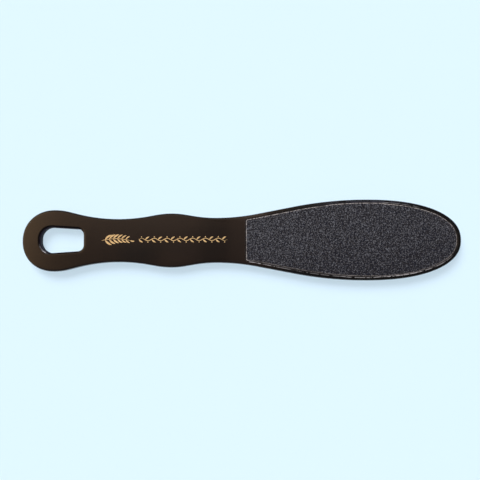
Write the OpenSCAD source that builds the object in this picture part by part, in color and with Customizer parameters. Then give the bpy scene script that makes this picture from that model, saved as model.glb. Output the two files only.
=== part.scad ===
// Paddle foot file: a one-piece moulded handle with a hanging hole at one end and an
// abrasive sheet bedded into each face of the paddle at the other.
// The file lies flat along X with the paddle towards +X and its coarse front face up.
// The origin is under the middle of the file, on the surface that it rests on.

/* [Handle outline] */
// Length from the hanging end to the widest place of the head
nose_len = 19.5; // [16:0.5:24]
// Length from the widest place of the head to the neck
head_neck_len = 38.5; // [30:0.1:50]
// Length from the neck to the widest place of the palm swell
neck_palm_len = 32.1; // [24:0.1:42]
// Length from the palm swell to the waist before the paddle
palm_waist_len = 27.1; // [20:0.1:36]
// Length from the waist to the widest place of the paddle
waist_paddle_len = 90.2; // [80:0.1:110]
// Length from the widest place of the paddle to its tip
paddle_tip_len = 57.6; // [45:0.1:70]
// Width of the head round the hanging hole
head_w = 37.3; // [33:0.1:42]
// Width of the neck
neck_w = 26.2; // [20:0.1:30]
// Width of the palm swell
palm_w = 32.8; // [28:0.1:38]
// Width of the waist before the paddle
waist_w = 27.3; // [22:0.1:30]
// Greatest width of the paddle
paddle_w = 49.1; // [40:0.1:56]

/* [Handle section] */
// Thickness of the moulding from face to face
handle_t = 6; // [5:0.1:8]
// Radius that rounds every outer edge and both mouths of the hanging hole
edge_r = 1.3; // [0.6:0.1:2]

/* [Hanging hole] */
// Width of the wall between the hole and the hanging end
hole_end_wall = 11.1; // [9:0.1:14]
// Length of the hole along the file
hole_len = 25.8; // [20:0.1:30]
// Width of the hole near the hanging end
hole_outer_w = 15.4; // [13:0.1:18]
// Width of the hole near the neck
hole_inner_w = 13.2; // [12:0.1:16]
// Corner radius of the hole near the hanging end
hole_outer_r = 6.9; // [3:0.1:7.6]
// Corner radius of the hole near the neck
hole_inner_r = 3.7; // [1.5:0.1:5]

/* [Abrasive sheets] */
// Length of each sheet from its straight end to the tip
sheet_len = 127.4; // [90:0.1:135]
// Width of the moulded rim beside each sheet
rim_w = 2.4; // [2:0.1:5]
// Width of the moulded rim at the tip
tip_rim_w = 2.7; // [2:0.1:8]
// Corner radius at the straight end of each sheet
sheet_corner_r = 1.6; // [1:0.1:4]
// Depth of the bed that each sheet lies in
bed_depth = 0.8; // [0.6:0.05:1.2]
// Thickness of the adhesive film under each sheet
adhesive_t = 0.15; // [0.1:0.05:0.3]
// Thickness of the cloth-reinforced backing
backing_t = 0.4; // [0.3:0.05:0.6]
// Thickness of the coarse grit coat on the front
front_grit_t = 0.5; // [0.3:0.05:0.8]
// Thickness of the fine grit coat on the rear
rear_grit_t = 0.4; // [0.3:0.05:0.8]

/* [Hidden] */

// Room between the edge of a sheet and the wall of its bed
sheet_gap = 0.2;
// How far a cut runs past the face that it opens
overrun = 1;
// Spacing of the points along the long curves of the outline
outline_step = 2.8;
// Segments in a quarter of the rounded nose, the rounded tip and an edge radius
nose_steps = 16;
tip_steps = 26;
edge_steps = 4;
// Segments in a corner of the hole and in a corner of a sheet
corner_steps = 9;

// Fullness of the two ends: 2 is an ellipse and more is squarer
nose_power = 2.13;
tip_power = 2.28;
// Shares of each flank at which its first curve ends and its last curve begins
flank_shares = [[0.22, 0.35], [0.58, 0.7], [0.3, 0.5], [0.27, 0.52]];

flank_lens = [head_neck_len, neck_palm_len, palm_waist_len, waist_paddle_len];
file_len = nose_len + head_neck_len + neck_palm_len + palm_waist_len + waist_paddle_len
    + paddle_tip_len;
nose_x = -file_len / 2;
tip_x = file_len / 2;
head_x = nose_x + nose_len;
neck_x = head_x + head_neck_len;
palm_x = neck_x + neck_palm_len;
waist_x = palm_x + palm_waist_len;
paddle_x = tip_x - paddle_tip_len;
station_x = [head_x, neck_x, palm_x, waist_x, paddle_x];
station_half = [head_w, neck_w, palm_w, waist_w, paddle_w] / 2;

front_sheet_t = adhesive_t + backing_t + front_grit_t;
rear_sheet_t = adhesive_t + backing_t + rear_grit_t;
// The file rests on its rear grit, or on the back of the handle if the grit lies deeper
back_z = max(0, rear_sheet_t - bed_depth);
face_z = back_z + handle_t;
front_bed_z = face_z - bed_depth;
rear_bed_z = back_z + bed_depth;
sheet_end_x = tip_x - tip_rim_w - sheet_len;

plastic = [0.24, 0.18, 0.15];
adhesive = [0.80, 0.74, 0.60];
backing = [0.36, 0.35, 0.37];
coarse = [0.25, 0.245, 0.26];
fine = [0.30, 0.29, 0.30];

// A number that goes from 0 to 1 along a flank: a curve, a straight and a curve that
// share their tangents, with the straight between the shares a and b
function ease(t, a, b) =
    let (slope = 2 / (1 - a + b))
    t < a ? slope * t * t / (2 * a)
    : t < b ? slope * (t - a / 2)
    : 1 - slope * (1 - t) * (1 - t) / (2 * (1 - b));

// The slope of ease at t
function ease_slope(t, a, b) =
    let (slope = 2 / (1 - a + b))
    t < a ? slope * t / a : t < b ? slope : slope * (1 - t) / (1 - b);

// The flank, counted from the head, that spans a place along the file
function flank_at(x) = max([for (i = [0:3]) x >= station_x[i] ? i : 0]);

// Half width of the outline at a place on a flank, and its slope there
function half_at(x) =
    let (i = flank_at(x), share = flank_shares[i], t = (x - station_x[i]) / flank_lens[i])
    station_half[i] + (station_half[i + 1] - station_half[i]) * ease(t, share[0], share[1]);
function slope_at(x) =
    let (i = flank_at(x), share = flank_shares[i], t = (x - station_x[i]) / flank_lens[i])
    (station_half[i + 1] - station_half[i]) * ease_slope(t, share[0], share[1]) / flank_lens[i];

// A point of a unit superellipse, and the outward direction there once it is sized
function power_point(angle, power) =
    [pow(cos(angle), 2 / power), pow(sin(angle), 2 / power)];
function power_normal(p, size, power) =
    let (n = [pow(p[0], power - 1) / size[0], pow(p[1], power - 1) / size[1]]) n / norm(n);

// The upper edge from the tip to the nose, as [point, outward direction]
tip_size = [paddle_tip_len, paddle_w / 2];
nose_size = [nose_len, head_w / 2];
tip_edge = [for (i = [0:tip_steps])
    let (
        p = power_point(90 * i / tip_steps, tip_power),
        n = power_normal(p, tip_size, tip_power))
    [[paddle_x + p[0] * tip_size[0], p[1] * tip_size[1]], n]];
nose_edge = [for (i = [nose_steps:-1:0])
    let (
        p = power_point(90 * i / nose_steps, nose_power),
        n = power_normal(p, nose_size, nose_power))
    [[head_x - p[0] * nose_size[0], p[1] * nose_size[1]], [-n[0], n[1]]]];
flank_edge = [for (i = [3:-1:0])
    let (steps = ceil(flank_lens[i] / outline_step))
    for (j = [steps - 1:-1:(i == 0 ? 1 : 0)])
        let (x = station_x[i] + flank_lens[i] * j / steps, n = [-slope_at(x), 1])
        [[x, half_at(x)], n / norm(n)]];
upper_edge = concat(tip_edge, flank_edge, nose_edge);

// A closed ring from an upper edge and its mirror image. The edges share their end points
// where those lie on the X axis (shared is 1) and have their own where not (shared is 0)
function mirrored(upper, shared) =
    concat(upper, [for (i = [len(upper) - 1 - shared:-1:shared]) [upper[i][0], -upper[i][1]]]);
// The outline of the file, drawn in by an inset
function outline(inset) = mirrored([for (e = upper_edge) e[0] - inset * e[1]], 1);

// The direction, from the X axis, in which the upper tangent of two circles faces
function tangent_angle(a, ra, b, rb) =
    let (d = b - a) atan2(d[1], d[0]) + acos((ra - rb) / norm(d));
function arc(centre, r, from, to) =
    [for (i = [0:corner_steps])
        let (angle = from + (to - from) * i / corner_steps)
        centre + r * [cos(angle), sin(angle)]];

// The outline of the hanging hole, drawn out by a growth: a belt round two large circles
// near the hanging end and two small ones near the neck
hole_x = [nose_x + hole_end_wall, nose_x + hole_end_wall + hole_len];
outer_centre = [hole_x[0] + hole_outer_r, hole_outer_w / 2 - hole_outer_r];
inner_centre = [hole_x[1] - hole_inner_r, hole_inner_w / 2 - hole_inner_r];
belt_angle = tangent_angle(outer_centre, hole_outer_r, inner_centre, hole_inner_r);
function hole_outline(growth) = mirrored(concat(
    arc(inner_centre, hole_inner_r + growth, 0, belt_angle),
    arc(outer_centre, hole_outer_r + growth, belt_angle, 180)), 0);

// The outline of a sheet, drawn in by a gap: a straight end with round corners, flanks
// that follow the handle inside its rim, and a full tip
function sheet_outline(gap) =
    let (
        inset = rim_w + gap,
        end_x = sheet_end_x + gap,
        r = sheet_corner_r - gap,
        slope = slope_at(end_x + r),
        lean = norm([1, slope]),
        centre = [end_x + r, half_at(end_x + r) - inset - r * lean],
        tip = [paddle_tip_len - tip_rim_w - gap, paddle_w / 2 - inset],
        steps = ceil((paddle_x - end_x) / outline_step),
        first = centre[0] - r * slope / lean,
        upper = concat(
            [for (i = [0:tip_steps])
                let (p = power_point(90 * i / tip_steps, tip_power))
                [paddle_x + p[0] * tip[0], p[1] * tip[1]]],
            [for (i = [steps - 1:-1:1])
                let (x = end_x + (paddle_x - end_x) * i / steps)
                if (x > first + r / corner_steps) [x, half_at(x) - inset]],
            arc(centre, r, 90 + atan(slope), 180)))
    concat(upper, [for (i = [len(upper) - 1:-1:1]) [upper[i][0], -upper[i][1]]]);

// Triangles between ring k and the next ring up, each of n points
function band(n, k) = [for (i = [0:n - 1])
    let (j = (i + 1) % n, low = k * n, high = low + n)
    each [[low + i, high + i, high + j], [low + i, high + j, low + j]]];

// Triangles over a mirrored ring of n points, between its upper edge and its lower edge
function cap(n, start, shared, faces_up) = [for (i = [0:n / 2 + shared - 2])
    let (
        a = i,
        b = i + 1,
        c = (n - 1 + shared - b) % n,
        d = (n - 1 + shared - a) % n)
    for (face = [[a, d, c], [a, c, b]])
        if (face[0] != face[1] && face[1] != face[2])
            [for (corner = faces_up ? [0, 1, 2] : [2, 1, 0]) start + face[corner]]];

// A solid through mirrored rings of equally many points, given as [ring, height] upwards
module loft(rings, shared) {
    n = len(rings[0][0]);
    top = len(rings) - 1;
    polyhedron(
        points = [for (r = rings) each [for (p = r[0]) [p[0], p[1], r[1]]]],
        faces = concat(
            cap(n, 0, shared, false),
            [for (k = [0:top - 1]) each band(n, k)],
            cap(n, top * n, shared, true)));
}

// The section of an edge that is rounded at both faces, as [inset, height] pairs upwards
quarter = [for (i = [0:edge_steps])
    let (angle = 90 * i / edge_steps)
    [edge_r * (1 - sin(angle)), edge_r * (1 - cos(angle))]];
edge_section = concat(
    [for (i = [0:edge_steps]) [quarter[i][0], back_z + quarter[i][1]]],
    [for (i = [edge_steps:-1:0]) [quarter[i][0], face_z - quarter[i][1]]]);

// The plate of the handle with its outer edges rounded
module rounded_plate() {
    loft([for (e = edge_section) [outline(e[0]), e[1]]], 1);
}

// The hanging hole, whose rounded mouths flare at both faces
module hanging_hole() {
    mouth = hole_outline(edge_r);
    loft(concat(
        [[mouth, back_z - overrun]],
        [for (e = edge_section) [hole_outline(e[0]), e[1]]],
        [[mouth, face_z + overrun]]), 0);
}

// A prism of the sheet's outline
module sheet_prism(gap, low, thickness) {
    translate([0, 0, low])
        linear_extrude(thickness)
            polygon(sheet_outline(gap));
}

module paddle_handle() {
    color(plastic)
        difference() {
            rounded_plate();
            hanging_hole();
            sheet_prism(0, front_bed_z, bed_depth + overrun);
            sheet_prism(0, back_z - overrun, bed_depth + overrun);
        }
}

module front_adhesive() {
    color(adhesive) sheet_prism(sheet_gap, front_bed_z, adhesive_t);
}

module front_backing() {
    color(backing) sheet_prism(sheet_gap, front_bed_z + adhesive_t, backing_t);
}

module front_grit() {
    color(coarse) sheet_prism(sheet_gap, front_bed_z + adhesive_t + backing_t, front_grit_t);
}

module rear_adhesive() {
    color(adhesive) sheet_prism(sheet_gap, rear_bed_z - adhesive_t, adhesive_t);
}

module rear_backing() {
    color(backing) sheet_prism(sheet_gap, rear_bed_z - adhesive_t - backing_t, backing_t);
}

module rear_grit() {
    color(fine) sheet_prism(sheet_gap, rear_bed_z - rear_sheet_t, rear_grit_t);
}

paddle_handle();
front_adhesive();
front_backing();
front_grit();
rear_adhesive();
rear_backing();
rear_grit();
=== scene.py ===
# The looks of a two-sided paddle foot file, built round its CAD frame. Lengths are in metres.
import math

import bmesh
import bpy
import numpy as np
from bpy.props import FloatProperty, FloatVectorProperty, IntProperty, PointerProperty
from mathutils import Matrix, Vector


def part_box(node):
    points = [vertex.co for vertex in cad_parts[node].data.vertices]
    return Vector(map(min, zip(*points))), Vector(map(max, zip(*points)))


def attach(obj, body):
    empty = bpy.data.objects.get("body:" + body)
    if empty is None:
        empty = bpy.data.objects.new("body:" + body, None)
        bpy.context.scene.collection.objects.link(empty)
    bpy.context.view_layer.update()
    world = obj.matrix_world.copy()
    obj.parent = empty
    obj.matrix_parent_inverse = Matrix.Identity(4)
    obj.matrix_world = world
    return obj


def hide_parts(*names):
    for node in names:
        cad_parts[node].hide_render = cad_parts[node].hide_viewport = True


bl_info = {
    "name": "Paddle foot file",
    "version": (1, 0, 0),
    "blender": (4, 5, 0),
    "location": "3D View > Sidebar > Foot file",
    "description": "Builds a paddle foot file with an abrasive sheet in each face, and its studio",
    "category": "Add Mesh",
}

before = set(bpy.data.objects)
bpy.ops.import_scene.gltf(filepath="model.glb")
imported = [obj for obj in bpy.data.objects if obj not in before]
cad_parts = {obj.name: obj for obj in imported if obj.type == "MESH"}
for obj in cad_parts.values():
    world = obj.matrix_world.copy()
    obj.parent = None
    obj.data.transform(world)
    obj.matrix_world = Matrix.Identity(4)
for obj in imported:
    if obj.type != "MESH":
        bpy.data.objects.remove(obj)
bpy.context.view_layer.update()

MM = 0.001
BODY = "root"

# Fullness of the two ends of the outline: 2 is an ellipse and more is squarer
NOSE_POWER = 2.13
TIP_POWER = 2.28
# Shares of each flank at which its first curve ends and its last curve begins
FLANK_SHARES = np.array([[0.22, 0.35], [0.58, 0.7], [0.3, 0.5], [0.27, 0.52]])
# How far the sizes below may miss the frame
FRAME_SLACK = 0.05 * MM

# Steps along the outline: the tip, paddle to sheet corner, corner to palm, palm to neck,
# neck to head, the nose, and the cut that parts the face at the palm swell
TIP_STEPS = 56
PADDLE_STEPS = 36
WAIST_STEPS = 28
NECK_STEPS = 20
HEAD_STEPS = 20
NOSE_STEPS = 36
CUT_STEPS = 8
# Steps round the corner of a sheet, and round half of the hole: its end, its inner corner,
# its flank, its outer corner and its other end
CORNER_STEPS = 16
HOLE_STEPS = (8, 20, 16, 28, 12)
# Steps across the rounding of the outer edges and across a fillet, and the samples from
# which the ends of the outline are divided into equal steps
EDGE_STEPS = 8
FILLET_STEPS = 4
CURVE_SAMPLES = 4000
# Points in one cell of this size are one point. The shift, a share of the size, keeps points
# on the axis away from the borders of the cells
WELD_DISTANCE = 1e-7
WELD_SHIFT = 0.3
SHARP_ANGLE = math.radians(48)
# The floor of a bed and the face of a coat run to points on the axis. The first and the last
# of them lie one part in this many of the length inside the ends
SPINE_PARTS = 20

# What the points of the handle carry: how satin they are, and how strong the painted glint
# along the beds, the painted shade and the painted glints on the hole's mouth are
MARKS = ("satin", "lip_glint", "painted_shade", "mouth_glint")
# The band round the hole, by the inset as a share of the edge radius: where satin and the
# painted shade end and over how much they fade, and where the painted glints lie and how
# far they reach
SATIN_INSET, SATIN_FADE = 0.5, 0.3
SHADE_INSET, SHADE_FADE = 0.78, 0.06
GLINT_INSET, GLINT_REACH = 0.5, 0.19
# The direction in which the painted shade reaches further onto the face, on the side turned
# from the light, and how much further
LEE_WAY, LEE_INSET = (-0.84, 0.6), 0.28
# Painted glints round the mouth: the direction that each lies in, the height and the
# steepness of its bell, and its strength
GLINT_BELLS = (((-0.73, -0.68), 1.5, 4, 0.2), ((-0.6, -0.8), 1.3, 15, 1))

# Features of the finishes: their size, the same along all axes or one for each, and the
# height of those that tilt the surface
FLOW_SIZE = (60 * MM, 14 * MM, 14 * MM)
CLOUD_SIZE = 9 * MM
SCUFF_SIZE = (1.8 * MM, 1.8 * MM, 0.5 * MM)
LIP_GLINT_SIZE = 1.8 * MM
MOUTH_GLINT_SIZE = 0.7 * MM
DUST_SHEEN_SIZE = 2.5 * MM
HAZE_SIZE = 22 * MM
PEEL_SIZE, PEEL_HEIGHT = 1.3 * MM, 0.0016 * MM
SAG_SIZE, SAG_HEIGHT = 26 * MM, 0.03 * MM
SCRATCH_HEIGHT = 0.0006 * MM
FOIL_THIN_SIZE = 0.35 * MM
FOIL_TONE_SIZE = 5 * MM
FOIL_GRAIN_SIZE = 0.09 * MM
CRINKLE_SIZE, CRINKLE_HEIGHT = 0.22 * MM, 0.004 * MM
LUMP_SIZE, LUMP_HEIGHT = 0.3 * MM, 0.05 * MM
BROKEN_SIZE = 1.1 * MM
WEAVE_SIZE, WEAVE_HEIGHT = (1.1 * MM,) * 3, 0.03 * MM
FIBRE_SIZE, FIBRE_TURN = (0.5 * MM, 0.05 * MM, 0.05 * MM), math.radians(20)
BUBBLE_SIZE, BUBBLE_HEIGHT = 0.8 * MM, 0.01 * MM
FILM_TONE_SIZE = 6 * MM
TOOTH_SIZE, TOOTH_HEIGHT = 0.8 * MM, 0.002 * MM
# The rise of the noise over which the edge of a scratch comes up
SCRATCH_EDGE = 0.05
# Sets of fine scratches: length and width in millimetres, angle to the length of the file in
# degrees, and how rare they are
SCRATCHES = ((26, 0.07, 6, 0.68), (17, 0.05, -11, 0.69), (7, 0.06, 58, 0.72))
# Broad marks of painted sheen and painted shade on the plastic: place along and across the
# file and how far each goes either way along and across, in millimetres, and how pale the
# sheen is, or how dark the shade below 0
SHEEN_MARKS = ((-62, -8, 15, 9, -0.6), (-17, -2, 12, 30, -0.3), (-36, -7, 14, 9, 0.12),
              (0, 5, 10, 26, 0.2), (-42, 12, 24, 9, 0.08))
# A like mark of painted reflection on the upper shoulder of the paddle, over the painted shade of
# the rim
SHOULDER_SHEEN = (7, 16, 11, 5, 0.8)
# Where along the file the painted shade of the rim and the painted reflection tint of the hole's
# wall begin and are full
RIM_SHADE = (8 * MM, 30 * MM)
HOLE_REFLECTION = (-90 * MM, -94 * MM)
# Dust and a painted sheen on the upper rim: its middle along the file and its reach either
# way, and where across the file it begins and is full
DUST_SHEEN_X, DUST_SHEEN_REACH = 74 * MM, 34 * MM
DUST_SHEEN_Y = (15 * MM, 18 * MM)

# How the sheets lie in their beds and how their edges are worn, at places along the upper
# and the lower flank: the place, more or less room in the bed, how far the coat reaches into
# it and how far the pale line lies in from the coat's edge, in millimetres, and then how
# pale the line is and how strong the painted glint along the edge of the bed is
ROOM, REACH, MARGIN, LINE, LIP_GLINT = range(1, 6)
FLANKS = {
    1: np.array([
        (3.2, 0, 0, 0, 1, 0.03), (5, 0, 0, 0, 1.2, 0.03), (48, 0, 0.05, 0, 1.15, 0.03),
        (55, 0, 0.33, 0, 1.15, 0.03), (84, 0, 0.35, 0, 1.1, 0.05), (88, 0.04, 0.05, 0, 1.1, 0.55),
        (93, 0.04, 0, 0, 1.2, 0.3), (104, 0.04, 0, 0, 1.2, 0.25), (108, 0, 0, 0, 1, 0.03),
        (118, 0, 0, 0, 1.05, 0.03), (127, 0, 0, 0, 0.8, 0.03)]),
    -1: np.array([
        (3.2, 0, 0, 0, 1, 0.03), (5, -0.45, 0, 0.3, 0.4, 1), (8, -0.45, 0, 0.55, 0.3, 1),
        (13, -0.35, 0, 0.5, 0.3, 0.65), (20, -0.3, 0, 0.42, 0.3, 0.45),
        (35, -0.15, 0, 0.42, 0.27, 0.25), (50, -0.15, 0, 0.4, 0.27, 0.28),
        (56, -0.1, 0, 0.2, 0.4, 0.3), (60, -0.2, 0, 0.25, 0.35, 0.5),
        (64, 0.1, 0, 0.05, 0.5, 0.5), (79, 0.15, 0, 0.05, 0.45, 0.5),
        (83, -0.18, 0.1, 0, 0.5, 0.75), (88, -0.15, 0.1, 0, 0.9, 0.75),
        (92, -0.18, 0.1, 0, 0.6, 0.9), (104, -0.18, 0.1, 0, 0.5, 0.95),
        (109, -0.25, 0, 0.2, 0.3, 0.55), (122, -0.3, 0, 0.35, 0.4, 0.5),
        (127, 0, 0, 0, 0.8, 0.03)])}
# Shares of the paddle's half width between which the room and the reach grow to the full
FLANK_FADE = (0.25, 0.75)
# Insets from the cut edge of a coat at which its face has a row of points
LINE_ROWS = np.array([0.23, 0.38, 0.5, 0.62, 0.76, 0.95]) * MM
# The pale line fades out over one part in this many of its width, and has this share of its
# strength at the foot of the cut edge
LINE_PARTS = 2.5
LINE_FOOT_SHARE = 0.25

# The share of the grains that are darkest, how much it grows towards the tip and towards the
# lower flank and falls at the middle as painted shade, over what reach along and across the
# file, and the share of the grains that are between the darkest and the palest
DARK_SHARE = 0.44
TIP_SHADE_SHARE = 0.12
FLANK_SHADE_SHARE = 0.13
MIDDLE_LIGHT_SHARE = 0.09
SHADE_REACH = (132 * MM, 24 * MM)
GREY_SHARE = 0.3
# Least and greatest corner of a grain as a share of its radius, and least and greatest
# height as a share of the room for it
CORNER_SHARES = (0.7, 1.25)
HEIGHT_SHARES = (0.62, 1.0)

# Steps along a leaf or a dot, along the sprig's stem and along each bow of the vine
LEAF_STEPS = 16
STEM_STEPS = 40
BOW_STEPS = 8
# Powers of the sine that leaves and the sprig's stem widen with, and the share by which a
# leaf bows
LEAF_POWER = 0.8
STEM_POWER = 0.3
LEAF_BOW_SHARE = 0.1
# The sprig: its pairs of leaves, the shares of the stem at the first and the last, how much
# they shrink and their angle, and the angle, length and width of the leaf at its end
LEAF_PAIRS = 6
PAIR_SHARES = (0.12, 0.84)
SHRINK_SHARE = 0.45
PAIR_TURN = math.radians(36)
END_TURN = math.radians(-8)
END_LEAF_SHARES = (0.5, 0.6)
# The vine: its bows, the share of a bow at which a leaf stands, the angle and the width of a
# leaf, the taper, which takes one part in this many of the stem at each end, and the
# distance of a dot from the crest of its bow, in radii
VINE_BOWS = 14
VINE_LEAF_PLACE = 0.1
VINE_TURN = math.radians(38)
VINE_LEAF_SHARE = 0.7
VINE_TAPER = 12
DOT_RADII = 2.4

# Tints of the lights, the angle that the fill takes up, the width of the camera's film in
# millimetres and the nearest place that the camera shows
SHEEN_TINT = (1, 0.735, 0.535)
GLOW_TINT = (1, 0.645, 0.33)
SKY_TINT = (0.94, 0.98, 1, 1)
FILL_SIZE = math.radians(1)
SENSOR_WIDTH = 36
NEAR_LIMIT = 10 * MM


def length(name, millimetres, description):
    """A length property that is given in millimetres and held in metres."""
    return FloatProperty(name=name, description=description, default=millimetres * MM,
                         unit="LENGTH", precision=5)


def share(name, value, description):
    """A property for a number without a unit."""
    return FloatProperty(name=name, description=description, default=value, precision=4)


def angle(name, degrees, description):
    """An angle property that is given in degrees and held in radians."""
    return FloatProperty(name=name, description=description, default=math.radians(degrees),
                         subtype="ANGLE")


def colour(name, value, description):
    """A linear colour property."""
    return FloatVectorProperty(name=name, description=description, default=value,
                               subtype="COLOR", size=3, min=0, max=1)


class HandleSizes(bpy.types.PropertyGroup):
    """Sizes of the moulded handle. The outline, the edges and the length of the hole are
    those of the part's source."""

    nose_len: length("Nose length", 19.5, "From the hanging end to the widest place of the head")
    head_neck_len: length("Head to neck", 38.5, "From the widest place of the head to the neck")
    neck_palm_len: length("Neck to palm", 32.1, "From the neck to the palm swell")
    palm_waist_len: length("Palm to waist", 27.1, "From the palm swell to the waist")
    waist_paddle_len: length("Waist to paddle", 90.2, "From the waist to the paddle's widest place")
    paddle_tip_len: length("Paddle to tip", 57.6, "From the paddle's widest place to its tip")
    head_w: length("Head width", 37.3, "Width of the head round the hanging hole")
    neck_w: length("Neck width", 26.2, "Width of the neck")
    palm_w: length("Palm width", 32.8, "Width of the palm swell")
    waist_w: length("Waist width", 27.3, "Width of the waist before the paddle")
    paddle_w: length("Paddle width", 49.1, "Greatest width of the paddle")
    edge_r: length("Edge radius", 1.3, "Rounding of the outer edges and of the hole's mouths")
    draft: length("Mould draft", 0.04, "How far the sides lean in from the parting line")
    hole_end_wall: length("Hole end wall", 11.1, "From the hanging end to the hole")
    hole_len: length("Hole length", 25.8, "Length of the hole along the file")
    hole_outer_w: length("Hole outer width", 15.4, "Width of the hole near the hanging end")
    hole_inner_w: length("Hole inner width", 13.4, "Width of the hole near the neck")
    hole_outer_r: length("Hole outer radius", 6.9, "Corner radius near the hanging end")
    hole_inner_r: length("Hole inner radius", 3.7, "Corner radius near the neck")
    hole_offset: length("Hole offset", 0.3, "How far the hole lies off the middle of the head")
    end_ease: share("End easing", 0.25, "How much wider the hole's rounding is at its hanging end")
    support: length("Support", 0.08, "Width of the narrow strip of the face beside a rounding")
    mouth_fillet: length("Bed fillet", 0.2, "Rounding of the upper edge of each bed")
    # The painted glint lies along this strip beside each bed
    lip_w: length("Lip width", 0.18, "Width of the strip that is crushed beside a bed")


class SheetSizes(bpy.types.PropertyGroup):
    """Sizes of the abrasive sheets and of the beds that they lie in."""

    sheet_len: length("Sheet length", 127.4, "From the straight end of a bed to its tip")
    rim_w: length("Rim width", 2.4, "Width of the moulded rim beside a sheet")
    tip_rim_w: length("Tip rim width", 2.7, "Width of the moulded rim at the tip")
    corner_r: length("Corner radius", 1.6, "Corner radius at the straight end")
    bed_depth: length("Bed depth", 0.8, "Depth of the bed")
    gap: length("Gap", 0.2, "Room between the edge of a sheet and the wall of its bed")
    room: length("Room", 0.28, "Further room in the bed all round a sheet")
    coat_depth: length("Coat depth", 0.24, "How far the resin lies below the tops of the grains")
    edge_round: length("Edge rounding", 0.1, "Rounding of the cut edge of the coat")
    pale_edge: length("Pale edge", 0.38, "Width of the crushed and paler strip at the cut edge")


class GritSizes(bpy.types.PropertyGroup):
    """Sizes of the grains of the two grit coats."""

    coarse_pitch: length("Coarse pitch", 0.56, "Mean distance between coarse grains")
    coarse_r: length("Coarse radius", 0.33, "Mean radius of a coarse grain")
    fine_pitch: length("Fine pitch", 0.4, "Mean distance between fine grains")
    fine_r: length("Fine radius", 0.2, "Mean radius of a fine grain")
    spread: share("Spread", 0.3, "How much the radii of the grains vary, as a share")
    bare_edge: length("Bare edge", 0.4, "Width of the strip without grains at the cut edge")
    seed: IntProperty(name="Seed", description="Seed of the random draws", default=7)


class OrnamentSizes(bpy.types.PropertyGroup):
    """Sizes of the hot foil ornament on the front of the handle."""

    sprig_x: length("Sprig place", -84.5, "Place of the foot of the sprig along the file")
    sprig_len: length("Sprig length", 17.2, "Length of the stem of the sprig")
    sprig_rise: length("Sprig rise", 1.1, "How far the stem bows")
    leaf_len: length("Leaf length", 5.4, "Length of the largest leaf")
    leaf_half: length("Leaf half width", 0.62, "Half width of the largest leaf")
    border_x: length("Border place", -62.4, "Place of the start of the border along the file")
    border_len: length("Border length", 54, "Length of the border")
    border_rise: length("Border rise", 0.75, "How far the waving stem of the border bows")
    border_leaf: length("Border leaf length", 3.1, "Length of a leaf of the border")
    line_half: length("Line half width", 0.18, "Half width of the stems")
    dot_r: length("Dot radius", 0.34, "Radius of the dots")
    centre_y: length("Centre", 0.5, "Place of the ornament across the file")
    foil_t: length("Foil thickness", 0.018, "How far the foil stands proud of the face")
    foil_depth: length("Foil depth", 0.01, "How far the foil is pressed into the face")


class Colours(bpy.types.PropertyGroup):
    """Linear colours of the finishes."""

    plastic_dark: colour("Plastic, dark", (0.0098, 0.0059, 0.0046), "Darker tone of the plastic")
    plastic_warm: colour("Plastic, warm", (0.0128, 0.0075, 0.0054), "Warmer tone of the plastic")
    # Painted shade: the darker rim round the sheets and the dark broad marks
    plastic_shade: colour("Plastic, rim", (0.0040, 0.0036, 0.0038), "Blacker tone round the sheets")
    # Painted deep shade in the hole's mouth and in the beds
    plastic_deep_shade: colour("Plastic, black", (0.0014, 0.0010, 0.0009), "Hole's mouth and beds")
    # Dust on the upper rim, which also stands for a painted sheen there
    plastic_dust_and_sheen: colour("Plastic, dusty", (0.030, 0.0295, 0.040), "Dust on the upper rim")
    # A painted reflection tint on the hole's wall
    plastic_hole_reflection: colour("Plastic, hole", (0.0100, 0.0035, 0.0130), "Tone of the hole's wall")
    # A painted glint along the edges of the beds
    lip_glint: colour("Lip", (0.34, 0.32, 0.325), "Crushed plastic along the lips of the beds")
    # Painted glints on the lower corner of the hole's mouth
    mouth_glint: colour("Nick", (0.62, 0.60, 0.63), "Bruised plastic where a hook has rubbed")
    # Real scuffs on the edges; also the pale colour of the painted sheen marks
    plastic_worn_and_sheen: colour("Plastic, worn", (0.034, 0.024, 0.019), "Scuffed plastic on the edges")
    grain_dark: colour("Grain, dark", (0.0045, 0.0055, 0.0125), "Darkest grains")
    grain_pale: colour("Grain, pale", (0.114, 0.1155, 0.131), "Palest grains")
    resin: colour("Resin", (0.006, 0.006, 0.0085), "Resin between the grains")
    cut_edge: colour("Cut edge", (0.43, 0.385, 0.375), "Crushed resin along the cut edge")
    backing: colour("Backing", (0.115, 0.108, 0.118), "Cloth of the backing")
    backing_thread: colour("Backing thread", (0.20, 0.185, 0.18), "Raised threads of the backing")
    adhesive: colour("Adhesive", (0.55, 0.42, 0.22), "Amber adhesive film")
    foil: colour("Foil", (0.86, 0.61, 0.31), "Gold foil")
    foil_thin: colour("Foil, thin", (0.50, 0.32, 0.15), "Gold foil where it is thin")
    floor: colour("Floor", (0.6155, 0.765, 0.872), "Pale floor")


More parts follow.
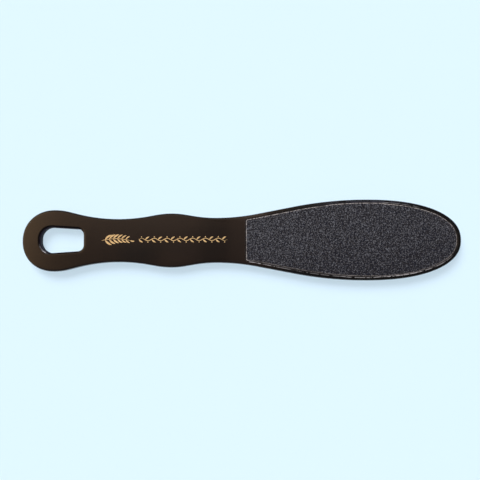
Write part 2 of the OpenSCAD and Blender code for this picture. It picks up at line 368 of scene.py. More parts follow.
class StudioSizes(bpy.types.PropertyGroup):
    """The photograph's view and light."""

    camera_x: length("Camera X", -1.1, "Place of the camera along the file")
    camera_y: length("Camera Y", -19.9, "Place of the camera across the file")
    camera_z: length("Camera Z", 337.3, "Height of the camera")
    aim_y: length("Aim Y", 0.22, "Place that the middle of the frame shows across the file")
    field: angle("Field of view", 47.1, "Angle that the width of the frame takes in")
    roll: angle("Roll", 0.17, "Turn of the frame about the line of sight")
    exposure: share("Exposure", 1.25, "Light on the floor, as a share of what makes it white")
    key_share: share("Key share", 0.29, "Share of the floor's light that comes from the key")
    sky_share: share("Sky share", 0.05, "Share of the floor's light that comes from all round")
    key_tilt: angle("Key tilt", 47, "Angle of the key from straight above")
    key_turn: angle("Key turn", 117, "Direction that the key comes from, counted from +X")
    key_size: angle("Key size", 36, "Angle that the key takes up")
    sheen_tilt: angle("Sheen tilt", 25.8, "Angle of the sheen from straight above")
    sheen_turn: angle("Sheen turn", 113.6, "Direction that the sheen comes from")
    sheen_size: angle("Sheen size", 38.9, "Angle that the sheen takes up")
    sheen: share("Sheen", 0.194, "Strength of the sheen, which shows in reflections only")
    glow_tilt: angle("Glow tilt", 46.8, "Angle of the side glow from straight above")
    glow_turn: angle("Glow turn", 168.7, "Direction that the side glow comes from")
    glow_size: angle("Glow size", 52.1, "Angle that the side glow takes up")
    glow: share("Glow", 0.92, "Strength of the side glow, which shows in reflections only")
    floor_half: length("Floor", 1500, "Half width of the floor")


class FootFile(bpy.types.PropertyGroup):
    """Everything that a user would change."""

    handle: PointerProperty(type=HandleSizes, name="Handle", description="Handle sizes")
    sheet: PointerProperty(type=SheetSizes, name="Sheets", description="Sheet sizes")
    grit: PointerProperty(type=GritSizes, name="Grit", description="Grain sizes")
    ornament: PointerProperty(type=OrnamentSizes, name="Ornament", description="Ornament sizes")
    colours: PointerProperty(type=Colours, name="Colours", description="Colours")
    studio: PointerProperty(type=StudioSizes, name="Studio", description="Camera and light")


# The outline of the file

def ease(t, a, b):
    """Rises from 0 to 1: a parabola up to the share a, a straight up to the share b, and a
    parabola after it, with shared tangents. Also gives the slope."""
    slope = 2 / (1 - a + b)
    first = slope * t * t / (2 * a)
    last = 1 - slope * (1 - t) ** 2 / (2 * (1 - b))
    rise = np.where(t < a, first, np.where(t < b, slope * (t - a / 2), last))
    steep = np.where(t < a, slope * t / a, np.where(t < b, slope, slope * (1 - t) / (1 - b)))
    return rise, steep


def worn(edge, side, column):
    """A column of a flank's table at each point of an edge, by straight interpolation."""
    table = FLANKS[side]
    return np.interp(edge[:, 0], table[:, 0] * MM, table[:, column])


def rounded_end(size, power, steps):
    """A quarter of a superellipse, (x / a)^p + (y / b)^p = 1, from its tip on the X axis to
    its top, in steps of equal length, with the outward directions, which run along
    (x / a)^(p - 1) / a and (y / b)^(p - 1) / b."""
    def unit(turn):
        """The same curve with a and b 1: the cosine and the sine to the power 2 / p."""
        circle = np.stack([np.cos(turn), np.sin(turn)], 1)
        return circle.clip(0, 1) ** (2 / power)

    turn = np.linspace(0, math.pi / 2, CURVE_SAMPLES)
    strides = np.linalg.norm(np.diff(unit(turn) * size, axis=0), axis=1)
    run = np.concatenate([[0], np.cumsum(strides)])
    even = unit(np.interp(np.linspace(0, run[-1], steps + 1), run, turn))
    outward = even ** (power - 1) / size
    return even * size, outward / np.linalg.norm(outward, axis=1, keepdims=True)


def arc(centre, radius, start, end, steps):
    """Points of a circular arc: the centre plus the radius along evenly spaced angles."""
    turn = np.linspace(start, end, steps + 1)
    return np.array(centre) + radius * np.stack([np.cos(turn), np.sin(turn)], 1)


def line(start, end, steps):
    """Evenly spaced points of a straight line, without its first point."""
    return np.linspace(start, end, steps + 1)[1:]


class Shape:
    """Places and edges that are worked out from the sizes. Each edge is the half above the
    X axis. It runs from one crossing of that axis to the other."""

    def __init__(self, handle, sheet):
        self.handle = handle
        self.sheet = sheet
        lens = [handle.nose_len, handle.head_neck_len, handle.neck_palm_len,
                handle.palm_waist_len, handle.waist_paddle_len, handle.paddle_tip_len]
        places = np.cumsum(lens) - sum(lens) / 2
        self.nose_x = -places[-1]
        self.tip_x = places[-1]
        self.station_x = places[:-1]
        widths = [handle.head_w, handle.neck_w, handle.palm_w, handle.waist_w, handle.paddle_w]
        self.station_half = np.array(widths) / 2
        self.palm_x = self.station_x[2]
        self.sheet_end_x = self.tip_x - sheet.tip_rim_w - sheet.sheet_len
        low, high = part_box("paddle_handle")
        self.back_z = low.z
        self.face_z = high.z
        reach = max(abs(high.x - self.tip_x), abs(low.x - self.nose_x),
                    abs(high.y - handle.paddle_w / 2))
        if reach > FRAME_SLACK:
            raise ValueError(f"the handle's sizes miss the frame by {reach / MM:.2f} mm")

    def flank(self, x):
        """Half width of the outline and its slope at places along the file: the half widths
        of the two stations either side, joined by ease."""
        i = np.searchsorted(self.station_x, x, side="right") - 1
        i = np.clip(i, 0, len(FLANK_SHARES) - 1)
        span = self.station_x[i + 1] - self.station_x[i]
        rise = self.station_half[i + 1] - self.station_half[i]
        way, slope = ease((x - self.station_x[i]) / span, FLANK_SHARES[i, 0], FLANK_SHARES[i, 1])
        return self.station_half[i] + rise * way, rise * slope / span

    def outline(self):
        """The edge of the whole file from the tip to the nose, and its outward directions."""
        head_x, neck_x, palm_x, _, paddle_x = self.station_x
        tip, tip_out = rounded_end([self.handle.paddle_tip_len, self.station_half[-1]],
                                   TIP_POWER, TIP_STEPS)
        nose, nose_out = rounded_end([self.handle.nose_len, self.station_half[0]],
                                     NOSE_POWER, NOSE_STEPS)
        corner_x = self.sheet_end_x + self.sheet.corner_r
        x = np.concatenate([line(paddle_x, corner_x, PADDLE_STEPS),
                            line(corner_x, palm_x, WAIST_STEPS),
                            line(palm_x, neck_x, NECK_STEPS),
                            line(neck_x, head_x, HEAD_STEPS)[:-1]])
        half, slope = self.flank(x)
        flank_out = np.stack([-slope, np.ones_like(x)], 1)
        flank_out /= np.linalg.norm(flank_out, axis=1, keepdims=True)
        points = np.concatenate([tip + [paddle_x, 0], np.stack([x, half], 1),
                                 (nose * [-1, 1] + [head_x, 0])[::-1]])
        outward = np.concatenate([tip_out, flank_out, (nose_out * [-1, 1])[::-1]])
        return points, outward

    def outline_edge(self, inset):
        """The outline drawn in by an inset along its outward directions."""
        points, outward = self.outline()
        return points - inset * outward

    def hole_edge(self, growth, side):
        """The hanging hole drawn out by a growth, from its neck end to its hanging end: a
        little more at its hanging end, and with its middle off the X axis by the offset."""
        s = self.handle
        edge = self.hole_belt(0)
        outward = self.hole_belt(1) - edge
        eased = 1 + s.end_ease * np.clip(-outward[:, :1], 0, 1)
        return edge + growth * eased * outward + [0, side * s.hole_offset]

    def hole_belt(self, growth):
        """A belt round two large circles and two small ones, drawn out by a growth."""
        s = self.handle
        x0 = self.nose_x + s.hole_end_wall
        x1 = x0 + s.hole_len
        outer = np.array([x0 + s.hole_outer_r, s.hole_outer_w / 2 - s.hole_outer_r])
        inner = np.array([x1 - s.hole_inner_r, s.hole_inner_w / 2 - s.hole_inner_r])
        d = inner - outer
        belt = math.atan2(d[1], d[0]) + math.acos(
            (s.hole_outer_r - s.hole_inner_r) / math.hypot(*d))
        small = arc(inner, s.hole_inner_r + growth, 0, belt, HOLE_STEPS[1])
        large = arc(outer, s.hole_outer_r + growth, belt, math.pi, HOLE_STEPS[3])
        return np.concatenate([
            [[x1 + growth, 0]],
            line([x1 + growth, 0], small[0], HOLE_STEPS[0])[:-1],
            small,
            line(small[-1], large[0], HOLE_STEPS[2])[:-1],
            large,
            line(large[-1], [x0 - growth, 0], HOLE_STEPS[4])])

    def sheet_edge(self, gap):
        """The edge of a sheet, drawn in by a gap, from its tip to its straight end: a
        superellipse, a flank inside the rim, a round corner and half of the straight end."""
        paddle_x = self.station_x[-1]
        inset = self.sheet.rim_w + gap
        end_x = self.sheet_end_x + gap
        r = self.sheet.corner_r - gap
        half, slope = self.flank(np.array([end_x + r]))
        lean = math.hypot(1, slope[0])
        centre = [end_x + r, half[0] - inset - r * lean]
        tip, _ = rounded_end([self.handle.paddle_tip_len - self.sheet.tip_rim_w - gap,
                              self.station_half[-1] - inset], TIP_POWER, TIP_STEPS)
        x = line(paddle_x, centre[0] - r * slope[0] / lean, PADDLE_STEPS)[:-1]
        corner = arc(centre, r, math.pi / 2 + math.atan(slope[0]), math.pi, CORNER_STEPS)
        straight = WAIST_STEPS + CUT_STEPS - CORNER_STEPS
        return np.concatenate([
            tip + [paddle_x, 0],
            np.stack([x, self.flank(x)[0] - inset], 1),
            corner,
            line(corner[-1], [end_x, 0], straight)])

    def moved_flank(self, edge, side, column):
        """An edge whose flank is moved out by a column of its table. The move fades towards
        the axis, in proportion to the distance from it."""
        start, full = FLANK_FADE
        fade = np.clip((edge[:, 1] / self.station_half[-1] - start) / (full - start), 0, 1)
        moved = edge.copy()
        moved[:, 1] += worn(edge, side, column) * MM * fade
        return moved

    def bed_edge(self, growth, side):
        """The edge of a bed: the sheet's edge drawn out, with more or less room along the
        flanks."""
        return self.moved_flank(self.sheet_edge(-growth - self.sheet.room), side, ROOM)

    def coat_edge(self, gap, side):
        """The edge of a grit coat, drawn in by a gap. It reaches into the room of the bed."""
        return self.moved_flank(self.sheet_edge(gap), side, REACH)

    def cut(self, inset):
        """The line across the face at the palm swell, from the outline down to the X axis."""
        points = self.outline_edge(inset)
        top = points[TIP_STEPS + PADDLE_STEPS + WAIST_STEPS]
        return np.concatenate([[top], line(top, [top[0], 0], CUT_STEPS)])


# Meshes

def heights(edge, z, side):
    """An edge's points on one side of the X axis, at a height."""
    return np.column_stack([edge[:, 0], side * edge[:, 1], np.full(len(edge), z)])


def band(edge_at, section, side):
    """A grid with one row for each [inset, height] pair of a section, carried round half of
    an edge."""
    return np.stack([heights(edge_at(inset), z, side) for inset, z in section])


def rounding(reach, drop, steps):
    """A quarter of an ellipse from a flat face to a wall, as [inset, drop] pairs: the inset
    falls from reach to 0 with 1 - sin, and the drop grows to its full depth with 1 - cos."""
    turn = np.linspace(0, math.pi / 2, steps + 1)
    return np.stack([reach * (1 - np.sin(turn)), drop * (1 - np.cos(turn))], 1)


def two_faced_section(s, back_z, face_z):
    """The section of an edge that is rounded at both faces: a strip of the face, the
    rounding, a wall that leans out to the parting line, and the same below it."""
    quarter = rounding(s.edge_r - s.draft, s.edge_r, EDGE_STEPS) + [s.draft, 0]
    upper = np.vstack([[s.edge_r + s.support, 0], quarter])
    front = [[inset, face_z - drop] for inset, drop in upper]
    back = [[inset, back_z + drop] for inset, drop in upper[::-1]]
    return front + [[0, (back_z + face_z) / 2]] + back


def grid_faces(rows, columns, first):
    """Four corners for each cell of a grid whose points are numbered row by row."""
    index = first + np.arange(rows * columns).reshape(rows, columns)
    cells = [index[:-1, :-1], index[1:, :-1], index[1:, 1:], index[:-1, 1:]]
    return np.stack(cells, -1).reshape(-1, 4)


def weld(marked):
    """Joins grids, each given with the marks of its rows or points, into one list of points,
    faces and marks. Points that share a cell of the weld's size become one, and a face that
    loses a corner becomes a triangle."""
    patches = [patch for patch, _ in marked]
    points = np.concatenate([p.reshape(-1, 3) for p in patches])
    marks = [np.broadcast_to(v, (*p.shape[:2], v.shape[2])) for p, v in marked]
    marks = np.concatenate([v.reshape(-1, v.shape[2]) for v in marks])
    starts = np.cumsum([0] + [p.shape[0] * p.shape[1] for p in patches])
    cells = np.concatenate([grid_faces(*p.shape[:2], start)
                            for p, start in zip(patches, starts)])
    keys = np.floor(points / WELD_DISTANCE + WELD_SHIFT).astype(np.int64)
    _, kept, place = np.unique(keys, axis=0, return_index=True, return_inverse=True)
    cells = place.reshape(-1)[cells]
    same = cells == np.roll(cells, -1, axis=1)
    faces = cells[~same.any(1)].tolist()
    for corner in range(4):
        lost = same[:, corner] & (same.sum(1) == 1)
        faces += np.delete(cells[lost], corner, axis=1).tolist()
    return points[kept], faces, marks[kept]


def add_piece(name, points, faces, finish, replaced=(), smooth=True, marks=None):
    """Puts points and faces into a mesh at the origin and makes it a piece of the file that
    rides on the body. The faces of a smooth piece are turned outwards, and those of a
    faceted one already are."""
    mesh = bpy.data.meshes.new(name)
    mesh.from_pydata(points, [], faces)
    mesh.validate()
    if smooth:
        work = bmesh.new()
        work.from_mesh(mesh)
        bmesh.ops.recalc_face_normals(work, faces=work.faces)
        work.to_mesh(mesh)
        work.free()
        mesh.shade_smooth()
        mesh.set_sharp_from_angle(angle=SHARP_ANGLE)
    else:
        mesh.shade_flat()
    for label, numbers in (marks or {}).items():
        attribute = mesh.attributes.new(label, "FLOAT", "POINT")
        attribute.data.foreach_set("value", numbers.astype(np.float32))
    mesh.materials.append(finish)
    piece = bpy.data.objects.new(name, mesh)
    bpy.context.scene.collection.objects.link(piece)
    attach(piece, BODY)
    if replaced:
        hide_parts(*replaced)
    return piece


# Shader expressions

class Value:
    """A shader socket in an expression. Sums, differences and products add Math nodes."""

    def __init__(self, finish, socket):
        self.finish = finish
        self.socket = socket

    def __add__(self, other):
        return self.finish.math("ADD", self, other)

    def __sub__(self, other):
        return self.finish.math("SUBTRACT", self, other)

    def __rsub__(self, other):
        return self.finish.math("SUBTRACT", other, self)

    def __mul__(self, other):
        return self.finish.math("MULTIPLY", self, other)

    __radd__ = __add__
    __rmul__ = __mul__

    def clamp(self):
        """The value held between 0 and 1."""
        return self.finish.math("ADD", self, 0, clamp=True)

    def above(self, low, high):
        """0 up to low, 1 from high on and a straight rise between them, or a fall where high
        is the lesser number."""
        return ((self - low) * (1 / (high - low))).clamp()


class Finish:
    """A material whose node tree is written as expressions."""

    def __init__(self, name, fixed):
        self.material = bpy.data.materials.new(name)
        self.material.use_nodes = True
        self.tree = self.material.node_tree
        self.shader = self.tree.nodes["Principled BSDF"]
        self.feed(fixed)
        self.place = self.node("ShaderNodeTexCoord", output="Object")

    def node(self, kind, settings=None, sockets=None, output=None):
        """Adds a node, sets its settings and then its sockets, and gives its output."""
        node = self.tree.nodes.new(kind)
        for key, value in (settings or {}).items():
            setattr(node, key, value)
        self.set_sockets(node, sockets or {})
        found = [o for o in node.outputs if o.enabled and output in (None, o.name)]
        return Value(self, found[0])

    def set_sockets(self, node, sockets):
        """Links or sets sockets, which are named by identifier, name or number."""
        for key, value in sockets.items():
            names = [s for s in node.inputs if key in (s.identifier, s.name)]
            socket = names[0] if names else node.inputs[key]
            if isinstance(value, Value):
                self.tree.links.new(value.socket, socket)
            elif socket.type == "RGBA":
                socket.default_value = (*value, 1)
            else:
                socket.default_value = value

    def feed(self, sockets):
        """Sets or links sockets of the shader itself."""
        self.set_sockets(self.shader, sockets)

    def math(self, operation, first, second, clamp=False):
        """One Math node."""
        settings = {"operation": operation, "use_clamp": clamp}
        return self.node("ShaderNodeMath", settings, {0: first, 1: second})

    def mix(self, factor, low, high):
        """A colour between two colours."""
        return self.node("ShaderNodeMix", {"data_type": "RGBA"},
                         {"Factor_Float": factor, "A_Color": low, "B_Color": high})

    def stretched(self, sizes, turn=0.0):
        """Object coordinates turned about Z, and then divided by a feature's size along each
        axis."""
        turned = self.node("ShaderNodeMapping", {},
                           {"Vector": self.place, "Rotation": (0, 0, turn)})
        return self.node("ShaderNodeMapping", {},
                         {"Vector": turned, "Scale": tuple(1 / s for s in sizes)})

    def noise(self, sizes, detail=2.0, roughness=0.5, turn=0.0):
        """Noise from 0 to 1 whose features have a size along X, Y and Z."""
        sizes = sizes if isinstance(sizes, tuple) else (sizes,) * 3
        return self.node("ShaderNodeTexNoise", {}, {
            "Vector": self.stretched(sizes, turn), "Scale": 1.0, "Detail": detail,
            "Roughness": roughness}, "Fac")

    def cells(self, size):
        """Cell noise: the distance to the nearest of scattered points, as a share of a size."""
        return self.node("ShaderNodeTexVoronoi", {},
                         {"Vector": self.stretched((size,) * 3), "Scale": 1.0}, "Distance")

    def axis(self, name):
        """One of the object coordinates."""
        return self.node("ShaderNodeSeparateXYZ", {}, {"Vector": self.place}, name)

    def bell(self, name, centre, reach):
        """1 at a place along an axis, and 0 at a reach either side, by 1 minus a square."""
        way = (self.axis(name) - centre) * (1 / reach)
        return (1 - way * way).clamp()

    def mark(self, name):
        """A number that the mesh carries on its points."""
        return self.node("ShaderNodeAttribute", {"attribute_name": name}, {}, "Fac")

    def bump(self, height, distance, below=None):
        """Tilts the surface by a height from 0 to 1 times a distance, over an earlier bump."""
        sockets = {"Height": height, "Distance": distance, "Strength": 1.0}
        if below:
            sockets["Normal"] = below
        return self.node("ShaderNodeBump", {}, sockets, "Normal")


def hairlines(f, long, wide, turn, rarity):
    """Fine scratches: the crests of noise that is drawn out along one direction."""
    sizes = (long * MM, wide * MM, wide * MM)
    crest = f.noise(sizes, 1.0, 0.5, math.radians(turn))
    return crest.above(rarity, rarity + SCRATCH_EDGE)


def with_sheen_and_shade(f, base, colours, mark):
    """A colour with a broad soft mark over it, a painted sheen where its strength is above 0 and
    a painted shade where it is below: a bell along the file times one across it.
    """
    *place, pale = mark
    x, y, reach_x, reach_y = np.array(place) * MM
    there = f.bell("X", x, reach_x) * f.bell("Y", y, reach_y) * abs(pale)
    return f.mix(there, base, colours.plastic_worn_and_sheen if pale > 0 else colours.plastic_shade)


def below_faces(f, shape):
    """0 on the flat faces of the handle, and 1 from half an edge radius below them on."""
    middle = (shape.face_z + shape.back_z) / 2
    depth = f.node("ShaderNodeMath", {"operation": "ABSOLUTE"}, {0: f.axis("Z") - middle})
    flat_z = (shape.face_z - shape.back_z) / 2
    return depth.above(flat_z, flat_z - 0.5 * shape.handle.edge_r)


def plastic_tone(f, colours, satin, rounded):
    """The colour of the plastic before it is scuffed: a faint flow pattern with broad marks of
    painted sheen and painted shade, a rim round the sheets that is painted darker as shade,
    its upper flank dusty and painted with a sheen, painted deep shade in the beds and the mouth
    of the hole, and a painted reflection tint on the hole's wall."""
    flow = f.noise(FLOW_SIZE, 3.0, 0.55)
    cloud = f.noise(CLOUD_SIZE, 2.0)
    tone = (flow * 0.75 + cloud * 0.25).above(0.34, 0.66)
    base = f.mix(tone, colours.plastic_dark, colours.plastic_warm)
    # Painted sheen and painted shade in broad marks over the grip
    for mark in SHEEN_MARKS:
        base = with_sheen_and_shade(f, base, colours, mark)
    # Painted shade: the paddle and its rim round the sheets are darker
    base = f.mix(f.axis("X").above(*RIM_SHADE) * 0.9, base, colours.plastic_shade)
    # Painted reflection on the paddle's upper shoulder
    base = with_sheen_and_shade(f, base, colours, SHOULDER_SHEEN)
    # Dust and a painted sheen on the paddle's upper rim
    dust_and_sheen = (f.bell("X", DUST_SHEEN_X, DUST_SHEEN_REACH) * f.axis("Y").above(*DUST_SHEEN_Y)
            * f.noise(DUST_SHEEN_SIZE, 3.0).above(0.3, 0.62) * (1 - rounded))
    base = f.mix(dust_and_sheen, base, colours.plastic_dust_and_sheen)
    # Painted deep shade on the hole's mouth and in the beds
    base = f.mix(f.mark("painted_shade"), base, colours.plastic_deep_shade)
    # A painted reflection tint on the satin wall of the hole
    return f.mix(satin * f.axis("X").above(*HOLE_REFLECTION), base, colours.plastic_hole_reflection)


def moulded_plastic(colours, shape):
    """Very dark brown moulded plastic: a polish with haze, orange peel and handling
    scratches, scuffs on the roundings, a painted glint along the edges of the beds and painted
    glints on the lower corner of the hole's mouth."""
    f = Finish("moulded_plastic", {"IOR": 1.55, "Specular IOR Level": 0.5})
    satin = f.mark("satin")
    rounded = below_faces(f, shape)
    scuffs = f.noise(SCUFF_SIZE, 4.0, 0.65).above(0.60, 0.72) * rounded
    lines = sum(hairlines(f, *scratch) for scratch in SCRATCHES).clamp()
    scuffed = (scuffs * 0.55 + lines * 0.04).clamp()
    # Painted glint along the edges of the beds
    crushed = f.noise(LIP_GLINT_SIZE, 3.0, 0.6).above(0.4, 0.52) * f.mark("lip_glint") * 1.25
    # Painted glints on the lower corner of the hole's mouth
    mouth_glints = f.noise(MOUTH_GLINT_SIZE, 3.0, 0.6).above(0.49, 0.54) * f.mark("mouth_glint")
    surface = f.mix(scuffed, plastic_tone(f, colours, satin, rounded), colours.plastic_worn_and_sheen)
    surface = f.mix(crushed, surface, colours.lip_glint)
    surface = f.mix(mouth_glints, surface, colours.mouth_glint)
    haze = f.noise(HAZE_SIZE, 2.0) * 0.05
    peel = f.bump(f.noise(PEEL_SIZE, 2.0), PEEL_HEIGHT)
    sag = f.bump(f.noise(SAG_SIZE, 1.0), SAG_HEIGHT, peel)
    f.feed({"Base Color": surface,
            "Roughness": 0.143 + haze + lines * 0.07 + scuffs * 0.2 + satin * 0.6,
            "Normal": f.bump(1 - lines, SCRATCH_HEIGHT, sag)})
    return f.material


def gold_foil(colours):
    """Hot foil: gold with fine grain, thin places where the base shows through, and a crinkle."""
    f = Finish("gold_foil", {"Specular IOR Level": 0.6})
    thin = f.noise(FOIL_THIN_SIZE, 4.0, 0.7).above(0.56, 0.72)
    drift = f.noise(FOIL_TONE_SIZE, 2.0).above(0.35, 0.65)
    pale = f.mix(drift * 0.35, colours.foil, colours.foil_thin)
    grain = f.noise(FOIL_GRAIN_SIZE, 2.0)
    f.feed({"Base Color": f.mix(thin * 0.6, pale, colours.foil_thin),
            "Metallic": 0.45 - thin * 0.2,
            "Roughness": 0.32 + grain * 0.16 + thin * 0.15,
            "Normal": f.bump(f.noise(CRINKLE_SIZE, 3.0), CRINKLE_HEIGHT)})
    return f.material


def grit_grains(name, colours, frost):
    """Broken mineral grains: each has its own tone from charcoal to pale grey, a few have
    glassy faces, all have fracture marks of the size that frost gives, and pale ones are
    rarer towards the tip and the lower flank and commoner along the middle, as painted shade."""
    f = Finish(name, {"IOR": 1.6, "Specular IOR Level": 0.2})
    tone = f.mark("tone")
    vein = f.noise(frost, 3.0, 0.6)
    reach_x, reach_y = SHADE_REACH
    # Painted shade: darker grains towards the tip and the lower flank, paler ones along the middle
    darkest = (DARK_SHARE + f.axis("X").above(0, reach_x) * TIP_SHADE_SHARE
               - f.axis("Y") * (FLANK_SHADE_SHARE / reach_y)
               - f.bell("Y", 0, reach_y) * MIDDLE_LIGHT_SHARE)
    grey = ((tone - darkest) * (1 / GREY_SHARE)).clamp()
    shade = (grey * 0.9 + vein * 0.2 - 0.06).clamp()
    glassy = tone.above(0.86, 0.9)
    f.feed({"Base Color": f.mix(shade, colours.grain_dark, colours.grain_pale),
            "Roughness": 0.52 - glassy * 0.3 + vein * 0.14,
            "Normal": f.bump(vein, frost * 0.05)})
    return f.material


def resin_coat(colours):
    """The resin that holds the grains: dark and lumpy, and crushed to a paler, broken line
    along the cut edge."""
    f = Finish("resin_coat", {"IOR": 1.5, "Specular IOR Level": 0.25})
    lump = f.noise(LUMP_SIZE, 4.0, 0.6)
    broken = f.noise(BROKEN_SIZE, 3.0, 0.6).above(0.43, 0.53)
    line = f.mark("cut_edge") * (0.25 + broken * 0.75)
    pale = (line * 0.95 + lump * 0.05).clamp()
    f.feed({"Base Color": f.mix(pale, colours.resin, colours.cut_edge),
            "Roughness": 0.5 + lump * 0.2,
            "Normal": f.bump(lump, LUMP_HEIGHT)})
    return f.material


def woven_backing(colours):
    """Cloth backing soaked in size: crossing threads 0.35 mm apart, with loose fibres."""
    f = Finish("woven_backing", {"Specular IOR Level": 0.25, "Sheen Weight": 0.1})
    places = f.stretched(WEAVE_SIZE)
    weave = f.math("MAXIMUM", *(
        f.node("ShaderNodeTexWave", {"bands_direction": direction},
               {"Vector": places, "Scale": 1.0, "Distortion": 0.6, "Detail": 1.0}, "Fac")
        for direction in ("X", "Y")))
    fibre = f.noise(FIBRE_SIZE, 3.0, 0.6, FIBRE_TURN)
    f.feed({"Base Color": f.mix((weave * 0.5 + fibre * 0.5).above(0.35, 0.8), colours.backing,
                                colours.backing_thread),
            "Roughness": 0.72 + fibre * 0.2,
            "Normal": f.bump(weave * 0.7 + fibre * 0.3, WEAVE_HEIGHT)})
    return f.material


def adhesive_film(colours):
    """Amber pressure-sensitive film with small trapped bubbles."""
    f = Finish("adhesive_film", {"IOR": 1.47})
    bubbles = 1 - f.cells(BUBBLE_SIZE).above(0.12, 0.2)
    drift = f.noise(FILM_TONE_SIZE, 2.0)
    pale = tuple(min(1, c * 1.25) for c in colours.adhesive)
    f.feed({"Base Color": f.mix((bubbles * 0.6 + drift * 0.3).clamp(), colours.adhesive, pale),
            "Roughness": 0.3 + bubbles * 0.3,
            "Normal": f.bump(bubbles, BUBBLE_HEIGHT)})
    return f.material


def pale_floor(colours):
    """A matt pale board with a faint tooth."""
    f = Finish("pale_floor", {"Specular IOR Level": 0.0, "Base Color": colours.floor,
                              "Roughness": 0.95})
    f.feed({"Normal": f.bump(f.noise(TOOTH_SIZE, 2.0), TOOTH_HEIGHT)})
    return f.material


# Pieces

def handle_patches(shape):
    """The grids of the moulded handle. Each side of the X axis has a band round the outer
    edge and one round the hole, and each face has the wall and floor of a bed, a patch from
    the outer edge to the bed, and one from the outer edge to the hole. Also gives how satin
    each point is and how strong its painted glint and painted shade are: the beds are as
    moulded and the rest is polished, the edges of the beds carry a painted glint, and the
    hole's mouth and the beds carry the deepest painted shade."""
    s = shape.handle
    section = two_faced_section(s, shape.back_z, shape.face_z)
    flat_inset = s.edge_r + s.support
    outer = shape.outline_edge(flat_inset)
    cut = shape.cut(flat_inset)
    to_palm = TIP_STEPS + PADDLE_STEPS + WAIST_STEPS
    paddle_side = np.concatenate([outer[:to_palm], cut])
    hole_side = np.concatenate([cut[::-1], outer[to_palm + 1:]])
    lip_inset = s.mouth_fillet + s.lip_w
    mouth = np.vstack([[lip_inset + s.support, 0], [lip_inset, 0],
                       rounding(s.mouth_fillet, s.mouth_fillet, FILLET_STEPS)])
    inset = np.array(section)[:, :1] / s.edge_r
    polished = np.array([[[0.0, 0.0, 0.0, 0.0]]])
    # Bed floors: satin, and with the deepest painted shade
    moulded = np.array([[[1.0, 0.0, 1.0, 0.0]]])
    # Rows of a bed's wall that carry the painted glint, and those that are satin
    lip_rows = np.array([0.0] + [1.0] * (len(mouth) - 2) + [0.5, 0.0])
    satin_rows = np.array([0.0] * (len(mouth) - 1) + [1.0, 1.0])
    patches = []
    for side in (1, -1):
        patches.append((band(shape.outline_edge, section, side), polished))
        patches.append((band(lambda growth: shape.hole_edge(growth, side), section, side),
                        mouth_marks(shape, inset, side)))
        lip_glint = worn(shape.bed_edge(0, side), side, LIP_GLINT)
        bed_marks = np.stack(np.broadcast_arrays(satin_rows[:, None], lip_rows[:, None] * lip_glint,
                                                 satin_rows[:, None], 0.0), 2)
        for face, inwards in ((shape.face_z, -1), (shape.back_z, 1)):
            floor_z = face + inwards * shape.sheet.bed_depth
            wall = [[growth, face + inwards * drop] for growth, drop in mouth] + [[0, floor_z]]
            patches.append((band(lambda growth: shape.bed_edge(growth, side), wall, side),
                            bed_marks))
            floor = shape.bed_edge(0, side)
            patches.append((np.stack([heights(floor, floor_z, side),
                                      heights(spine_of(floor), floor_z, side)]), moulded))
            inner = shape.bed_edge(lip_inset + s.support, side)
            patches.append((np.stack([heights(paddle_side, face, side),
                                      heights(inner, face, side)]), polished))
            patches.append((np.stack([heights(hole_side, face, side),
                                      heights(shape.hole_edge(flat_inset, side), face, side)]),
                            polished))
    return patches


def mouth_marks(shape, inset, side):
    """How satin the band round the hole is, that it has no painted glint of a bed's edge, and
    how strong its painted shade and painted glints are, for the inset of each row as a share
    of the rounding. The wall is as moulded, the painted shade reaches furthest onto the
    rounding at the hanging end and along the upper flank, on the side turned from the light,
    and painted glints lie at the lower corner: each glint is a bell of the distance between
    the outward direction and its own."""
    x, y = (shape.hole_belt(1) - shape.hole_belt(0)).T * [[1], [side]]
    lee = np.clip(0.5 + LEE_WAY[0] * x + LEE_WAY[1] * y, 0, 1)
    satin = np.clip((SATIN_INSET - inset) / SATIN_FADE, 0, 1) + lee * 0
    painted_shade = np.clip((SHADE_INSET + LEE_INSET * lee - inset) / SHADE_FADE, 0, 1)
    bells = [strength * np.clip(height - steepness * ((x - way[0]) ** 2 + (y - way[1]) ** 2), 0, 1)
             for way, height, steepness, strength in GLINT_BELLS]
    mouth_glint = np.maximum(*bells) * np.clip(1 - ((inset - GLINT_INSET) / GLINT_REACH) ** 2, 0, 1)
    return np.stack([satin, satin * 0, painted_shade, mouth_glint], 2)


def spine_of(edge):
    """Points on the X axis that an edge's points are joined to, evenly spaced between two
    places inside its ends."""
    first, last = edge[0, 0], edge[-1, 0]
    inside = (last - first) / SPINE_PARTS
    x = np.linspace(first + inside, last - inside, len(edge))
    return np.stack([x, np.zeros_like(x)], 1)


